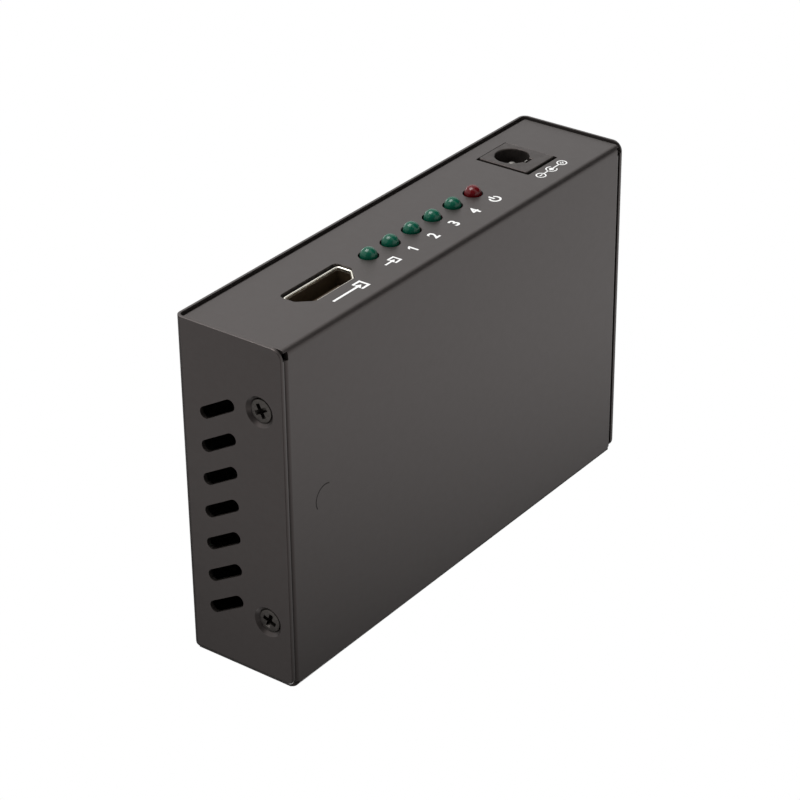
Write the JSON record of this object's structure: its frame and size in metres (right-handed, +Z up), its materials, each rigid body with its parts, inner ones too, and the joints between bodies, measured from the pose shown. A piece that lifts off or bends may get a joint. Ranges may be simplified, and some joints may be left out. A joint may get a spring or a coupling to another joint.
{
  "type": "hdmi splitter",
  "caption": "Flat dark sheet-metal video splitter box with an input socket, a row of domed LEDs and a DC inlet in front, output sockets behind, and slanted vent slots in its ends.",
  "frame": {"origin": "middle of the base's underside", "axes": "+Z up through the cover, -Y out of the front panel with the input socket, LEDs and DC inlet, +X to the right as the front panel is read"},
  "size_m": [0.0986, 0.0655, 0.022],
  "materials": {
    "case_paint": "satin black paint with a slight brown cast",
    "screw_black": "black oxide steel, semi-matt",
    "nickel_plate": "bright nickel plating",
    "gold_plate": "gold flash plating",
    "black_plastic": "moulded black plastic",
    "chip_black": "moulded epoxy",
    "board_green": "solder mask on glass laminate",
    "steel": "tinned steel",
    "aluminium_can": "drawn aluminium can",
    "led_green": "clear green tinted epoxy, unlit",
    "led_red": "clear red tinted epoxy, unlit"
  },
  "bodies": {
    "case": {"base_tray": "case_paint", "top_cover": "case_paint", "circuit_board": "board_green", "board_standoffs": "case_paint", "board_screws": "steel", "input_shell": "nickel_plate", "input_insulator": "black_plastic", "input_contacts": "gold_plate", "output_1_shell": "nickel_plate", "output_1_insulator": "black_plastic", "output_1_contacts": "gold_plate", "output_2_shell": "nickel_plate", "output_2_insulator": "black_plastic", "output_2_contacts": "gold_plate", "output_3_shell": "nickel_plate", "output_3_insulator": "black_plastic", "output_3_contacts": "gold_plate", "output_4_shell": "nickel_plate", "output_4_insulator": "black_plastic", "output_4_contacts": "gold_plate", "led_1": "led_green", "led_2": "led_green", "led_3": "led_green", "led_4": "led_green", "led_5": "led_green", "led_6": "led_red", "led_leads": "steel", "dc_jack_housing": "black_plastic", "dc_jack_pin": "steel", "dc_jack_terminals": "steel", "splitter_chip": "chip_black", "memory_chip": "chip_black", "voltage_regulator": "chip_black", "crystal": "steel", "inductor": "chip_black", "capacitors": "aluminium_can", "resistors": "chip_black"},
    "left_front_screw": {"left_front_screw": "screw_black"},
    "left_rear_screw": {"left_rear_screw": "screw_black"},
    "right_front_screw": {"right_front_screw": "screw_black"},
    "right_rear_screw": {"right_rear_screw": "screw_black"},
    "dc_jack_leaf": {"dc_jack_leaf": "steel"}
  },
  "joints": [
    {"name": "left_front_screw_out", "type": "slide", "parent": "case", "child": "left_front_screw", "axis": [-1, 0, 0], "range_m": [0, 0.004]},
    {"name": "left_rear_screw_out", "type": "slide", "parent": "case", "child": "left_rear_screw", "axis": [-1, 0, 0], "range_m": [0, 0.004]},
    {"name": "right_front_screw_out", "type": "slide", "parent": "case", "child": "right_front_screw", "axis": [1, 0, 0], "range_m": [0, 0.004]},
    {"name": "right_rear_screw_out", "type": "slide", "parent": "case", "child": "right_rear_screw", "axis": [1, 0, 0], "range_m": [0, 0.004]},
    {"name": "dc_jack_leaf_press", "type": "hinge", "parent": "case", "child": "dc_jack_leaf", "pos_m": [0.0331, -0.0223, 0.01038], "axis": [1, 0, 0], "range_deg": [0, 1.7], "stiffness_Nm_per_rad": 0.4}
  ]
}
